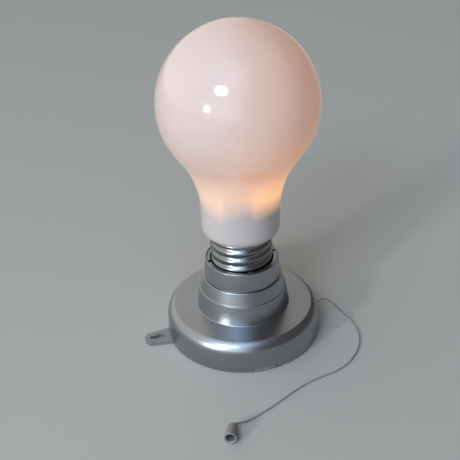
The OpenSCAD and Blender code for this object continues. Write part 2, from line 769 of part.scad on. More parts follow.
module globe() {
    mouth_r = spigot_r - globe_wall;
    color("mistyrose") rotate_extrude() polygon(concat(
        globe_side(0),
        [[spigot_r, seat_z], [spigot_r, seat_z - spigot_l], [mouth_r, seat_z - spigot_l],
         [mouth_r, seat_z + globe_wall]],
        reversed(globe_side(globe_wall))));
}

base_housing();
back_plate();
battery_door();
battery_1();
battery_2();
battery_3();
spring_contacts();
plate_contacts();
switch_body();
switch_cover();
switch_screws();
switch_slider();
return_spring();
cord_bush();
pull_cord();
cord_knot();
pull();
socket_collar();
socket_sleeve();
lamp_post();
post_screws();
housing_screws();
led_board();
led_1();
led_2();
reflector();
board_screws();
wire_red();
wire_black();
wire_switch();
thread_cap();
globe();
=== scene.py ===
"""Looks of the pull-cord bulb lamp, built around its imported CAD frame. Metres, +Z up.

The frame's nodes that have the right shape keep it and get a material. The globe, screw cap, base
housing, collar, pull, cord and return spring are built here as finer meshes that stand for their
CAD nodes.
"""

import math

import bmesh
import bpy
import numpy as np
from mathutils import Matrix, Vector


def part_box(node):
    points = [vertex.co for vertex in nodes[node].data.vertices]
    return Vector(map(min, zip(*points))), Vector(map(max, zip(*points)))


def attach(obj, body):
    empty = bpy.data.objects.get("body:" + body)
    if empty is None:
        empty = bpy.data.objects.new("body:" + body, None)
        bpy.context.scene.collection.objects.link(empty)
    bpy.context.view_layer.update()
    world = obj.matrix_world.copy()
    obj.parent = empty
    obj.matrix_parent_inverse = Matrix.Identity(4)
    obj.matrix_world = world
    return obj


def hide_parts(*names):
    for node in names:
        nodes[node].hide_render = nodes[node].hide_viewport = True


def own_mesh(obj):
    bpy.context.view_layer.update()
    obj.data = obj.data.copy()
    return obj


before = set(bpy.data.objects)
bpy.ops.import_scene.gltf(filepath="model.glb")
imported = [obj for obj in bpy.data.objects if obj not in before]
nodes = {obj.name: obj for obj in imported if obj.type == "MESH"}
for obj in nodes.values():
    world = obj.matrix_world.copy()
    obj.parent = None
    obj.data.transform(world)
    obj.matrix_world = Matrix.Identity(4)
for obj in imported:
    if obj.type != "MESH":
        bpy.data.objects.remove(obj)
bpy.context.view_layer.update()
scene = bpy.context.scene

# ---- Camera ------------------------------------------------------------------------------------

CAMERA_AT = Vector((-0.1404, -0.5184, 0.4175))
CAMERA_AIM = Vector((-0.0080, 0.0020, 0.0887))
CAMERA_ROLL = math.radians(1.87)
CAMERA_LENS = 65.73
CAMERA_SENSOR = 36


def place_camera():
    """Makes the camera, looking from CAMERA_AT to CAMERA_AIM with a slight roll."""
    data = bpy.data.cameras.new("camera")
    data.lens = CAMERA_LENS
    data.sensor_width = CAMERA_SENSOR
    data.clip_start, data.clip_end = 0.01, 20
    camera = bpy.data.objects.new("camera", data)
    forward = (CAMERA_AIM - CAMERA_AT).normalized()
    level = forward.cross(Vector((0, 0, 1))).normalized()
    up = level.cross(forward) * math.cos(CAMERA_ROLL) + level * math.sin(CAMERA_ROLL)
    right = forward.cross(up)
    turn = Matrix((right, up, -forward)).transposed()
    camera.matrix_world = Matrix.Translation(CAMERA_AT) @ turn.to_4x4()
    scene.collection.objects.link(camera)
    scene.camera = camera


place_camera()

# ---- Mesh helpers ------------------------------------------------------------------------------

SHARP = 35.0                     # edges bent by more degrees than this stay crisp
ROUND_SIDES = 320                # sides of the large turned pieces


def arc(centre, radius, start, end, step=3.0):
    """Points on an arc from angle start to end, in degrees, about a centre."""
    count = max(2, math.ceil(abs(end - start) / step))
    angles = np.radians(np.linspace(start, end, count + 1))
    return [(centre[0] + radius * math.cos(a), centre[1] + radius * math.sin(a)) for a in angles]


def rounded(corners, step=10.0):
    """Closed outline through (x, z, radius) corners, each rounded to its radius."""
    out = []
    for i, (x, z, radius) in enumerate(corners):
        corner = Vector((x, z))
        if radius <= 0:
            out.append((x, z))
            continue
        back = Vector(corners[i - 1][:2]) - corner
        ahead = Vector(corners[(i + 1) % len(corners)][:2]) - corner
        half = back.angle(ahead) / 2
        cut = min(radius / math.tan(half), 0.49 * back.length, 0.49 * ahead.length)
        reach = cut * math.tan(half)
        middle = (back.normalized() + ahead.normalized()).normalized()
        centre = corner + middle * (reach / math.sin(half))
        first = corner + back.normalized() * cut - centre
        last = corner + ahead.normalized() * cut - centre
        turn = math.atan2(first.x * last.y - first.y * last.x, first.dot(last))
        count = max(2, math.ceil(math.degrees(abs(turn)) / step))
        for k in range(count + 1):
            a = turn * k / count
            out.append((centre.x + first.x * math.cos(a) - first.y * math.sin(a),
                        centre.y + first.x * math.sin(a) + first.y * math.cos(a)))
    return out


def finished(name, mesh_data, body, sharp=SHARP):
    """Links a bmesh as a smooth-shaded object with consistent normals that rides on a body."""
    bmesh.ops.recalc_face_normals(mesh_data, faces=mesh_data.faces)
    mesh = bpy.data.meshes.new(name)
    mesh_data.to_mesh(mesh)
    mesh_data.free()
    mesh.polygons.foreach_set("use_smooth", [True] * len(mesh.polygons))
    mesh.set_sharp_from_angle(angle=math.radians(sharp))
    piece = bpy.data.objects.new(name, mesh)
    scene.collection.objects.link(piece)
    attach(piece, body)
    return piece


def lathe(outline, sides):
    """Bmesh of a closed (radius, height) outline turned about the Z axis."""
    made = bmesh.new()
    rings = []
    for r, z in outline:
        if r < 1e-7:
            rings.append([made.verts.new((0, 0, z))])
        else:
            rings.append([made.verts.new((r * math.cos(a), r * math.sin(a), z))
                          for a in np.linspace(0, 2 * math.pi, sides, endpoint=False)])
    for i, ring in enumerate(rings):
        following = rings[(i + 1) % len(rings)]
        if len(ring) == 1 and len(following) == 1:
            continue
        for k in range(sides):
            quad = [ring[k % len(ring)], following[k % len(following)],
                    following[(k + 1) % len(following)], ring[(k + 1) % len(ring)]]
            made.faces.new(list(dict.fromkeys(quad)))
    return made


def grid_tube(rings, closed_ends=True):
    """Bmesh of rings of points joined one to the next, with a cap at each end."""
    made = bmesh.new()
    verts = [[made.verts.new(p) for p in ring] for ring in rings]
    sides = len(verts[0])
    for a, b in zip(verts, verts[1:]):
        for k in range(sides):
            made.faces.new((a[k], a[(k + 1) % sides], b[(k + 1) % sides], b[k]))
    if closed_ends:
        made.faces.new(verts[0])
        made.faces.new(verts[-1])
    return made


def cut(piece, cutters):
    """Takes (low corner, high corner) boxes and ready objects away from a piece."""
    for i, cutter in enumerate(cutters):
        if isinstance(cutter, bpy.types.Object):
            tool = cutter
        else:
            box = bmesh.new()
            low, high = Vector(cutter[0]), Vector(cutter[1])
            bmesh.ops.create_cube(box, size=1.0, matrix=Matrix.Translation((low + high) / 2)
                                  @ Matrix.Diagonal((*(high - low), 1.0)))
            mesh = bpy.data.meshes.new(f"cutter_{i}")
            box.to_mesh(mesh)
            box.free()
            tool = bpy.data.objects.new(f"cutter_{i}", mesh)
            scene.collection.objects.link(tool)
        step = piece.modifiers.new("cut", "BOOLEAN")
        step.operation = "DIFFERENCE"
        step.solver = "EXACT"
        step.object = tool
        bpy.context.view_layer.update()
        graph = bpy.context.evaluated_depsgraph_get()
        result = bpy.data.meshes.new_from_object(piece.evaluated_get(graph))
        piece.modifiers.clear()
        piece.data = result
        bpy.data.objects.remove(tool)
    piece.data.set_sharp_from_angle(angle=math.radians(SHARP))


def rod(name, start, end, radius, sides=48):
    """Plain round bar between two points, used as a cutter."""
    start, end = Vector(start), Vector(end)
    made = bmesh.new()
    turn = (end - start).to_track_quat("Z", "Y").to_matrix().to_4x4()
    bmesh.ops.create_cone(made, cap_ends=True, segments=sides, radius1=radius, radius2=radius,
                          depth=(end - start).length,
                          matrix=Matrix.Translation((start + end) / 2) @ turn)
    mesh = bpy.data.meshes.new(name)
    made.to_mesh(mesh)
    made.free()
    bar = bpy.data.objects.new(name, mesh)
    scene.collection.objects.link(bar)
    return bar


# ---- Material helpers --------------------------------------------------------------------------


class Shader:
    """One material with a Principled surface, and short ways to add nodes to it."""

    def __init__(self, name):
        self.material = bpy.data.materials.new(name)
        self.material.use_nodes = True
        self.tree = self.material.node_tree
        self.surface = self.tree.nodes["Principled BSDF"]
        self.place = self.add("ShaderNodeTexCoord").outputs["Object"]

    def add(self, kind, inputs=None, **settings):
        """New node. An input's value is a number, a tuple or another node's output."""
        made = self.tree.nodes.new(kind)
        for key, value in settings.items():
            setattr(made, key, value)
        for key, value in (inputs or {}).items():
            self.put(made.inputs[key], value)
        return made

    def put(self, socket, value):
        """Links an output to a socket, or sets the socket's own value."""
        if isinstance(value, bpy.types.NodeSocket):
            self.tree.links.new(value, socket)
        else:
            socket.default_value = value

    def set(self, **values):
        """Sets the surface's own sockets, with _ for a space in their names."""
        for key, value in values.items():
            self.put(self.surface.inputs[key.replace("_", " ")], value)
        return self

    def math(self, operation, a, b=0.0, c=0.0):
        """Result of a math node."""
        made = self.add("ShaderNodeMath", {0: a, 1: b, 2: c}, operation=operation)
        return made.outputs[0]

    def between(self, value, low, high, to_low=0.0, to_high=1.0):
        """Smooth step of value from low to high."""
        made = self.add("ShaderNodeMapRange", {"Value": value, "From Min": low, "From Max": high,
                                               "To Min": to_low, "To Max": to_high},
                        interpolation_type="SMOOTHSTEP")
        return made.outputs["Result"]

    def along(self, vector, turn):
        """How far a vector reaches in a level direction, given as its turn about Z."""
        direction = (math.cos(turn), math.sin(turn), 0.0)
        made = self.add("ShaderNodeVectorMath", {0: vector, 1: direction}, operation="DOT_PRODUCT")
        return made.outputs["Value"]

    def noise(self, scale, detail=3.0):
        """Noise from 0 to 1, in object space."""
        made = self.add("ShaderNodeTexNoise", {"Vector": self.place, "Scale": scale,
                                               "Detail": detail, "Roughness": 0.55})
        return made.outputs["Fac"]

    def mix(self, share, a, b):
        """Colour a where share is 0 and b where it is 1."""
        made = self.add("ShaderNodeMix", data_type="RGBA")
        self.put(made.inputs[0], share)
        self.put(made.inputs[6], a)
        self.put(made.inputs[7], b)
        return made.outputs[2]

    def ramp(self, value, stops):
        """Colour ramp through (position, colour) stops."""
        made = self.add("ShaderNodeValToRGB", {"Fac": value})
        elements = made.color_ramp.elements
        while len(elements) < len(stops):
            elements.new(0.5)
        for element, (position, colour) in zip(elements, stops):
            element.position = position
            element.color = (*colour, 1.0)
        return made.outputs["Color"]

    def bump(self, height, distance, strength, normal=None):
        """Normal of a height field, laid over another normal if one is given."""
        inputs = {"Height": height, "Distance": distance, "Strength": strength}
        if normal is not None:
            inputs["Normal"] = normal
        return self.add("ShaderNodeBump", inputs).outputs["Normal"]

    def soft_edges(self, radius):
        """Normal that rounds the look of edges by a radius."""
        return self.add("ShaderNodeBevel", {"Radius": radius}, samples=6).outputs["Normal"]


def rgba(colour, scale):
    """Colour made lighter or darker by a factor, with full alpha."""
    return tuple(min(1.0, c * scale) for c in colour) + (1.0,)


def moulded(name, colour, rough, metal=0.0, vary=0.07, grain=900.0, depth=0.00002, edge=0.0003,
            coat=0.0):
    """Moulded or painted surface: mottled a little, with a fine grain and softened edges."""
    s = Shader(name)
    broad = s.noise(38.0, 4.0)
    fine = s.noise(grain, 3.0)
    share = s.math("ADD", s.math("MULTIPLY", broad, 0.6), s.math("MULTIPLY", fine, 0.4))
    s.set(Base_Color=s.mix(share, rgba(colour, 1 - vary), rgba(colour, 1 + vary)))
    spread = s.math("MULTIPLY_ADD", s.noise(70.0, 3.0), 0.16, rough - 0.08)
    s.set(Roughness=spread, Metallic=metal)
    if coat:
        s.set(Coat_Weight=coat, Coat_Roughness=0.12)
    s.set(Normal=s.bump(fine, depth, 0.5, s.soft_edges(edge)))
    return s.material


def silver_paint():
    """Satin silver paint on a moulded base: metal flake under a thin clear layer."""
    s = Shader("silver_paint")
    flake = s.add("ShaderNodeTexVoronoi", {"Vector": s.place, "Scale": 3200.0}).outputs["Color"]
    tone = s.add("ShaderNodeSeparateXYZ", {"Vector": flake}).outputs["X"]
    cloud = s.noise(26.0, 5.0)
    share = s.math("ADD", s.math("MULTIPLY", tone, 0.35), s.math("MULTIPLY", cloud, 0.65))
    s.set(Base_Color=s.mix(share, (0.295, 0.31, 0.332, 1.0), (0.365, 0.382, 0.408, 1.0)))
    s.set(Metallic=1.0, Roughness=s.math("MULTIPLY_ADD", cloud, 0.12, 0.26))
    s.set(Coat_Weight=0.12, Coat_Roughness=0.25)
    ripple = s.bump(s.noise(320.0, 2.0), 0.00003, 0.35, s.soft_edges(0.0003))
    s.set(Normal=ripple)
    return s.material


def bright_metal():
    """Bright plating of the screw cap, slightly uneven as on a plated moulding."""
    s = Shader("bright_metal")
    cloud = s.noise(90.0, 4.0)
    s.set(Base_Color=s.mix(cloud, (0.22, 0.235, 0.25, 1.0), (0.31, 0.325, 0.34, 1.0)))
    s.set(Metallic=1.0, Roughness=s.math("MULTIPLY_ADD", cloud, 0.1, 0.2))
    s.set(Normal=s.bump(s.noise(260.0, 2.0), 0.00003, 0.4))
    return s.material


# Painted glow of the globe at each height: emission colour that paints the light of the lamps
# inside as the light that leaves its wall
GLOW = (
    (0.101, (0.0, 0.0, 0.0)),
    (0.111, (0.01, 0.004, 0.002)),
    (0.119, (0.25, 0.115, 0.037)),
    (0.128, (0.50, 0.23, 0.072)),
    (0.138, (0.45, 0.195, 0.06)),
    (0.150, (0.32, 0.13, 0.042)),
    (0.165, (0.21, 0.085, 0.03)),
    (0.190, (0.15, 0.062, 0.026)),
    (0.248, (0.17, 0.072, 0.03)),
)
# Painted shade: along this meridian the painted glow is dimmed and starts higher.
GAP_TURN = math.radians(-109)    # the darker meridian between the two lamps' pools of light
GAP_EDGE = 0.9                   # cosine of the angle at which the gap starts
GAP_DROP = 0.004                 # how much higher the light's lower edge is in the gap
GAP_DIMMING = -0.3
GAP_FADE = (0.13, 0.165)         # heights between which the gap's dimming ends
# Painted light: on this side the painted glow reaches lower into the neck.
POOL_TURN = math.radians(-130)   # the pool on this side reaches lower into the neck
POOL_EDGE = 0.82
POOL_REACH = 0.0025
POOL_FADE = (0.119, 0.14)
# Painted light: the glow's emission grows stronger towards this side, painting warm light into the
# globe's shaded side.
WARM_TURN = math.radians(-20)    # the side where more of the warm light comes through
WARM_FROM, WARM_TO = -0.03, 0.04
WARM_LEAST, WARM_MOST = 0.85, 1.9


def opal():
    """Glossy opal plastic with a painted glow: two pools of warm light above the neck, painted as
    emission.
    """
    s = Shader("opal")
    parts = s.add("ShaderNodeSeparateXYZ", {"Vector": s.place}).outputs
    flat = s.add("ShaderNodeVectorMath", {0: s.place, 1: (1.0, 1.0, 0.0)}, operation="MULTIPLY")
    out = s.add("ShaderNodeVectorMath", {0: flat.outputs[0]}, operation="NORMALIZE")
    gap = s.between(s.math("ABSOLUTE", s.along(out.outputs[0], GAP_TURN)), GAP_EDGE, 1.0)
    dimmed = s.math("MULTIPLY", gap, s.between(parts["Z"], *GAP_FADE, 1.0, 0.0))
    pool = s.between(s.along(out.outputs[0], POOL_TURN), POOL_EDGE, 1.0)
    pool = s.math("MULTIPLY", pool, s.between(parts["Z"], *POOL_FADE, 1.0, 0.0))
    warm = s.between(s.along(s.place, WARM_TURN), WARM_FROM, WARM_TO, WARM_LEAST, WARM_MOST)
    height = s.math("SUBTRACT", parts["Z"], s.math("MULTIPLY", gap, GAP_DROP))
    height = s.math("ADD", height, s.math("MULTIPLY", pool, POOL_REACH))
    height = s.math("ADD", height, s.math("MULTIPLY_ADD", s.noise(22.0, 2.0), 0.008, -0.004))
    low, high = GLOW[0][0], GLOW[-1][0]
    share = s.math("DIVIDE", s.math("SUBTRACT", height, low), high - low)
    glow = s.ramp(share, [((z - low) / (high - low), colour) for z, colour in GLOW])
    s.set(Base_Color=s.mix(s.noise(14.0, 4.0), (0.43, 0.385, 0.38, 1.0), (0.47, 0.425, 0.42, 1.0)))
    # Emission paints the glow: dimmed in the painted-shade gap, stronger on the warm side.
    s.set(Emission_Color=glow, Emission_Strength=s.math(
        "MULTIPLY", warm, s.math("MULTIPLY_ADD", dimmed, GAP_DIMMING, 1.0)))
    s.set(Roughness=s.math("MULTIPLY_ADD", s.noise(60.0, 3.0), 0.05, 0.06))
    s.set(Subsurface_Weight=0.25, Subsurface_Scale=0.006)
    s.set(Subsurface_Radius=(1.0, 0.75, 0.6))
    s.set(Coat_Weight=0.3, Coat_Roughness=0.04)
    s.set(Sheen_Weight=0.35, Sheen_Roughness=0.3, Sheen_Tint=(1.0, 0.88, 0.76, 1.0))
    s.set(Normal=s.bump(s.noise(45.0, 2.0), 0.00008, 0.25))
    return s.material


def cord_fibre():
    """Pale twisted fibre of the pull cord."""
    s = Shader("cord_fibre")
    strand = s.noise(1500.0, 4.0)
    worn = s.noise(120.0, 3.0)
    share = s.math("ADD", s.math("MULTIPLY", strand, 0.7), s.math("MULTIPLY", worn, 0.3))
    s.set(Base_Color=s.mix(share, (0.11, 0.11, 0.10, 1.0), (0.32, 0.32, 0.30, 1.0)))
    s.set(Roughness=0.85, Sheen_Weight=0.25)
    s.set(Normal=s.bump(strand, 0.00015, 0.8))
    return s.material


def cell_sleeve():
    """Plain printed sleeve of a dry cell: a dark body with a gold band, bare metal at its ends."""
    s = Shader("cell_sleeve")
    parts = s.add("ShaderNodeSeparateXYZ", {"Vector": s.place}).outputs
    run = s.math("ABSOLUTE", parts["X"])
    band = s.between(run, 0.0125, 0.0127)
    bare = s.between(run, 0.0238, 0.0240)
    grain = s.noise(700.0, 2.0)
    body = s.mix(grain, (0.028, 0.03, 0.034, 1.0), (0.045, 0.047, 0.052, 1.0))
    gold = s.mix(grain, (0.5, 0.3, 0.09, 1.0), (0.6, 0.38, 0.13, 1.0))
    s.set(Base_Color=s.mix(bare, s.mix(band, body, gold), (0.55, 0.55, 0.54, 1.0)))
    s.set(Metallic=s.between(run, 0.0124, 0.0128, 0.1, 0.8), Roughness=0.32)
    s.set(Normal=s.soft_edges(0.0005))
    return s.material


def board_green():
    """Lacquered circuit board with faint tracks."""
    s = Shader("board_green")
    tracks = s.add("ShaderNodeTexBrick", {"Vector": s.place, "Scale": 140.0,
                                          "Mortar Size": 0.03}).outputs["Fac"]
    s.set(Base_Color=s.mix(tracks, (0.02, 0.12, 0.045, 1.0), (0.05, 0.22, 0.08, 1.0)))
    s.set(Roughness=0.35, Normal=s.bump(tracks, 0.00004, 0.5))
    return s.material


def lamp_lens():
    """Warm lit lens of a small lamp."""
    s = Shader("lamp_lens")
    parts = s.add("ShaderNodeSeparateXYZ", {"Vector": s.place}).outputs
    lit = s.between(parts["Z"], 0.1125, 0.119)
    s.set(Base_Color=s.mix(s.noise(500.0), (0.85, 0.75, 0.55, 1.0), (0.9, 0.8, 0.6, 1.0)))
    s.set(Emission_Color=s.mix(lit, (0.4, 0.22, 0.07, 1.0), (1.0, 0.62, 0.25, 1.0)))
    s.set(Emission_Strength=1.5, Roughness=0.12)
    return s.material


SILVER = silver_paint()
BRIGHT = bright_metal()
OPAL = opal()
CORD = cord_fibre()
GREY = moulded("grey_plastic", (0.21, 0.21, 0.205), 0.42, metal=0.35)
PULL_PAINT = moulded("pull_paint", (0.23, 0.23, 0.23), 0.5, metal=0.45, grain=1500.0, depth=0.00005)
WHITE = moulded("white_plastic", (0.72, 0.72, 0.69), 0.45)
BLACK = moulded("black_plastic", (0.035, 0.035, 0.038), 0.5)
BUSH = moulded("bush_plastic", (0.25, 0.255, 0.26), 0.45)
STEEL = moulded("steel", (0.46, 0.46, 0.45), 0.3, metal=1.0, vary=0.12)
SCREW = moulded("screw_zinc", (0.38, 0.38, 0.4), 0.36, metal=1.0, vary=0.15)
CELL = cell_sleeve()
BOARD = board_green()
LENS = lamp_lens()
RED_WIRE = moulded("red_wire", (0.42, 0.02, 0.015), 0.4)
BLACK_WIRE = moulded("black_wire", (0.02, 0.02, 0.02), 0.4)

CAD_FINISH = {
    "back_plate": GREY, "battery_door": GREY,
    "battery_1": CELL, "battery_2": CELL, "battery_3": CELL,
    "spring_contacts": STEEL, "plate_contacts": STEEL,
    "switch_body": BLACK, "switch_cover": BLACK, "switch_slider": WHITE, "cord_bush": BUSH,
    "switch_screws": SCREW, "post_screws": SCREW, "housing_screws": SCREW, "board_screws": SCREW,
    "cord_knot": CORD, "socket_sleeve": SILVER, "lamp_post": WHITE, "reflector": WHITE,
    "led_board": BOARD, "led_1": LENS, "led_2": LENS,
    "wire_red": RED_WIRE, "wire_black": BLACK_WIRE, "wire_switch": BLACK_WIRE,
}


def paint(piece, material):
    """Gives a piece one material."""
    piece.data.materials.clear()
    piece.data.materials.append(material)


for name, material in CAD_FINISH.items():
    paint(nodes[name], material)

# ---- Globe -------------------------------------------------------------------------------------

GLOBE_WALL = 0.0016
NECK_R = 0.0294
NECK_ROUND = 0.007               # radius that turns the neck into the underside
FLARE_Z = 0.108                  # height at which the neck starts to flare
ROUND_Z = 0.0952                 # height of the centre of the neck's rounding
UNDERSIDE_LEAN = 62.0
SEAT_Z = 0.08712                 # height at which the globe sits on the cap
SPIGOT_R = 0.0194


def globe_side(inward, globe_r, globe_z):
    """Half section from the crown to the seat, moved inwards."""
    drop = globe_z - FLARE_Z
    flare_r = (drop**2 / (globe_r - NECK_R) - globe_r - NECK_R) / 2
    flare_x = NECK_R + flare_r
    meet = math.degrees(math.atan2(-drop, flare_x))
    side = arc((0, globe_z), globe_r - inward, 90, meet, 2)
    side += arc((flare_x, FLARE_Z), flare_r + inward, meet + 180, 180, 1.5)[1:]
    bottom = arc((NECK_R - NECK_ROUND, ROUND_Z), NECK_ROUND - inward, 0, -UNDERSIDE_LEAN, 4)
    side += bottom
    fall = bottom[-1][1] - SEAT_Z - inward
    side.append((bottom[-1][0] - fall * math.tan(math.radians(UNDERSIDE_LEAN)), SEAT_Z + inward))
    return side


def make_globe():
    low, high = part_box("globe")
    globe_r = high.x
    globe_z = high.z - globe_r
    outside = globe_side(0, globe_r, globe_z)
    outside[0] = (0.0, outside[0][1])
    inside = globe_side(GLOBE_WALL, globe_r, globe_z)[::-1]
    inside[-1] = (0.0, inside[-1][1])
    mouth = SPIGOT_R - GLOBE_WALL
    spigot = [(SPIGOT_R, SEAT_Z), (SPIGOT_R, low.z), (mouth, low.z)]
    piece = finished("globe_blown", lathe(outside + spigot + inside, ROUND_SIDES), "bulb", 40)
    paint(piece, OPAL)
    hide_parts("globe")


make_globe()

# ---- Screw cap ---------------------------------------------------------------------------------

CAP_ROOT_R = 0.0219
CAP_BORE_R = 0.0195
THREAD_H = 0.0017
THREAD_PITCH = 0.007
THREAD_CREST_Z = 0.067           # height of a crest at THREAD_TURN
THREAD_TURN = math.radians(-105)
LUG_R = 0.0012
LUG_Z = 0.0594
LUG_REACH = 0.0261
LUG_TURNS = (math.radians(-30), math.radians(150))
CAP_SIDES = 240
CAP_RINGS = 92


def ease(x):
    """Smooth step from 0 to 1."""
    x = min(1.0, max(0.0, x))
    return x * x * (3 - 2 * x)


def thread_radius(turn, z, low, high):
    """Radius of the cap's rolled right-hand thread at an angle and a height."""
    climb = (z - THREAD_CREST_Z) / THREAD_PITCH - (turn - THREAD_TURN) / (2 * math.pi)
    wave = (0.5 + 0.5 * math.cos(2 * math.pi * climb)) ** 0.85
    fade = ease((z - low) / 0.003) * ease((high - z) / 0.0026)
    edge = 0.0005 * (1 - ease(min(z - low, high - z) / 0.0006))
    return CAP_ROOT_R + THREAD_H * wave * fade - edge


def make_cap():
    low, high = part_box("thread_cap")[0].z, SEAT_Z
    turns = np.linspace(0, 2 * math.pi, CAP_SIDES, endpoint=False)
    rings = []
    for z in np.linspace(low, high, CAP_RINGS):
        radii = [thread_radius(a, z, low, high) for a in turns]
        rings.append([(r * math.cos(a), r * math.sin(a), z) for a, r in zip(turns, radii)])
    for z in (high, low):
        rings.append([(CAP_BORE_R * math.cos(a), CAP_BORE_R * math.sin(a), z) for a in turns])
    rings.append(rings[0])
    made = grid_tube(rings, closed_ends=False)
    bmesh.ops.remove_doubles(made, verts=made.verts, dist=1e-7)
    for turn in LUG_TURNS:
        reach = Vector((math.cos(turn), math.sin(turn), 0))
        start = CAP_ROOT_R - 0.001
        middle = reach * ((start + LUG_REACH) / 2) + Vector((0, 0, LUG_Z))
        bmesh.ops.create_cone(made, cap_ends=True, segments=28, radius1=LUG_R, radius2=LUG_R,
                              depth=LUG_REACH - start, matrix=Matrix.Translation(middle)
                              @ reach.to_track_quat("Z", "Y").to_matrix().to_4x4())
    piece = finished("screw_cap", made, "bulb", 50)
    paint(piece, BRIGHT)
    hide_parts("thread_cap")


make_cap()

# ---- Base housing ------------------------------------------------------------------------------

BASE_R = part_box("base_housing")[1].x
BASE_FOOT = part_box("base_housing")[0].z
DISC_Z = 0.0248
RIM_R = BASE_R - 0.0006
SHOULDER_R = 0.010
SHOULDER_X = RIM_R - SHOULDER_R
SHOULDER_Z = DISC_Z - 0.9 * SHOULDER_R
CREST_ROUND = 0.0014             # radius that softens the line between disc and shoulder
BASE_WALL = 0.0022
STEP1_R = 0.036
STEP2_R = 0.0328
STEP_LEAN = 0.0024
LEDGE_Z = 0.0408
TOP_Z = 0.051
NECK_HOLE_R = 0.008
BOSS_R = 0.047
BOSS_TURNS = (40, 140, 212, 328)
BOSS_HEIGHT = 0.0168
BOSS_MID_Z = 0.0145
TAB_NOTCH = (0.0083, 0.0039)     # half width and height of the notch that the tab leaves by
STRIP_NOTCH = (0.009, 0.0036)    # the same for the finger strip
BUSH_Z = 0.008
BUSH_HOLE_R = 0.0023


def base_section():
    """Outline of the housing's moulded wall, outside down to the foot and back up inside."""
    steps = rounded([
        (NECK_HOLE_R, TOP_Z, 0.0),
        (STEP2_R - STEP_LEAN, TOP_Z, 0.0006),
        (STEP2_R, LEDGE_Z, 0.0003),
        (STEP1_R - STEP_LEAN, LEDGE_Z, 0.0004),
        (STEP1_R, DISC_Z, 0.0006),
        (SHOULDER_X - 0.002, DISC_Z, 0.0),
    ])
    crest_z = DISC_Z - CREST_ROUND
    reach = SHOULDER_R - CREST_ROUND
    crest_x = SHOULDER_X + math.sqrt(reach**2 - (crest_z - SHOULDER_Z) ** 2)
    turn = math.degrees(math.asin((crest_z - SHOULDER_Z) / reach))
    crest = arc((crest_x, crest_z), CREST_ROUND, 90, turn, 5)
    shoulder = arc((SHOULDER_X, SHOULDER_Z), SHOULDER_R, turn, 0, 3)
    foot = [(BASE_R - 0.0001, BASE_FOOT + 0.0006), (BASE_R - 0.0003, BASE_FOOT + 0.0001),
            (BASE_R - 0.0006, BASE_FOOT)]
    under = DISC_Z - BASE_WALL
    round_r = SHOULDER_R - BASE_WALL
    roof_turn = math.degrees(math.asin((under - SHOULDER_Z) / round_r))
    inside = [(RIM_R - BASE_WALL + 0.0006, BASE_FOOT)]
    inside += arc((SHOULDER_X, SHOULDER_Z), round_r, 0, roof_turn, 6)
    inside += [
        (STEP1_R - BASE_WALL, under), (STEP1_R - STEP_LEAN - BASE_WALL, LEDGE_Z - BASE_WALL),
        (STEP2_R - BASE_WALL - 0.0002, LEDGE_Z - BASE_WALL),
        (STEP2_R - STEP_LEAN - BASE_WALL, TOP_Z - BASE_WALL), (NECK_HOLE_R, TOP_Z - BASE_WALL)]
    return steps + crest + shoulder[1:] + foot + inside


def make_housing():
    """The moulded wall with its notches and cord hole, and the screw bosses inside it."""
    piece = finished("base_moulding", lathe(base_section(), ROUND_SIDES), "base")
    tab_half, tab_top = TAB_NOTCH
    strip_half, strip_top = STRIP_NOTCH
    inner = RIM_R - BASE_WALL - 0.003
    outer = BASE_R + 0.001
    cut(piece, [
        ((-outer, -tab_half, -0.001), (-inner, tab_half, tab_top)),
        ((-strip_half, -outer, -0.001), (strip_half, -inner, strip_top)),
        rod("bush_cutter", (inner, 0, BUSH_Z), (BASE_R + 0.002, 0, BUSH_Z), BUSH_HOLE_R),
    ])
    paint(piece, SILVER)
    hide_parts("base_housing")
    bosses = bmesh.new()
    for turn in BOSS_TURNS:
        a = math.radians(turn)
        spot = Vector((BOSS_R * math.cos(a), BOSS_R * math.sin(a), BOSS_MID_Z))
        bmesh.ops.create_cone(bosses, cap_ends=True, segments=40, radius1=0.0035, radius2=0.0038,
                              depth=BOSS_HEIGHT, matrix=Matrix.Translation(spot))
    inner_bosses = finished("base_bosses", bosses, "base")
    paint(inner_bosses, SILVER)


make_housing()

# ---- Socket collar -----------------------------------------------------------------------------

COLLAR_R = 0.0292
COLLAR_LIP_R = 0.0281
COLLAR_WALL = 0.0013
LIP_Z = 0.0662
SLEEVE_R = 0.0266
FLOOR_T = 0.0022
FOOT_SHADOW = 0.0004             # groove that makes the line under the collar


def make_collar():
    """Tapered ring round the socket, with a floor that rests on the upper step."""
    outline = rounded([
        (NECK_HOLE_R, TOP_Z, 0.0),
        (COLLAR_R - FOOT_SHADOW, TOP_Z, 0.0),
        (COLLAR_R - FOOT_SHADOW, TOP_Z + 0.0006, 0.0),
        (COLLAR_R, TOP_Z + 0.0006, 0.0003),
        (COLLAR_LIP_R, LIP_Z, 0.0005),
        (COLLAR_LIP_R - COLLAR_WALL, LIP_Z, 0.0005),
        (SLEEVE_R + 0.0002, TOP_Z + FLOOR_T, 0.0),
        (NECK_HOLE_R, TOP_Z + FLOOR_T, 0.0),
    ])
    piece = finished("collar_turned", lathe(outline, ROUND_SIDES), "base")
    paint(piece, SILVER)
    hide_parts("socket_collar")


make_collar()

# ---- Pull --------------------------------------------------------------------------------------

PULL_BACK = Vector((-0.0392, -0.1115, 0.0035))
PULL_TURN = math.radians(-113.5)
PULL_L = 0.0125
PULL_R = 0.0045
PULL_BACK_R = 0.0035
PULL_BORE_R = 0.003
PULL_FLOOR = 0.003
CORD_R = 0.00065
CORD_HOLE_R = CORD_R + 0.00045


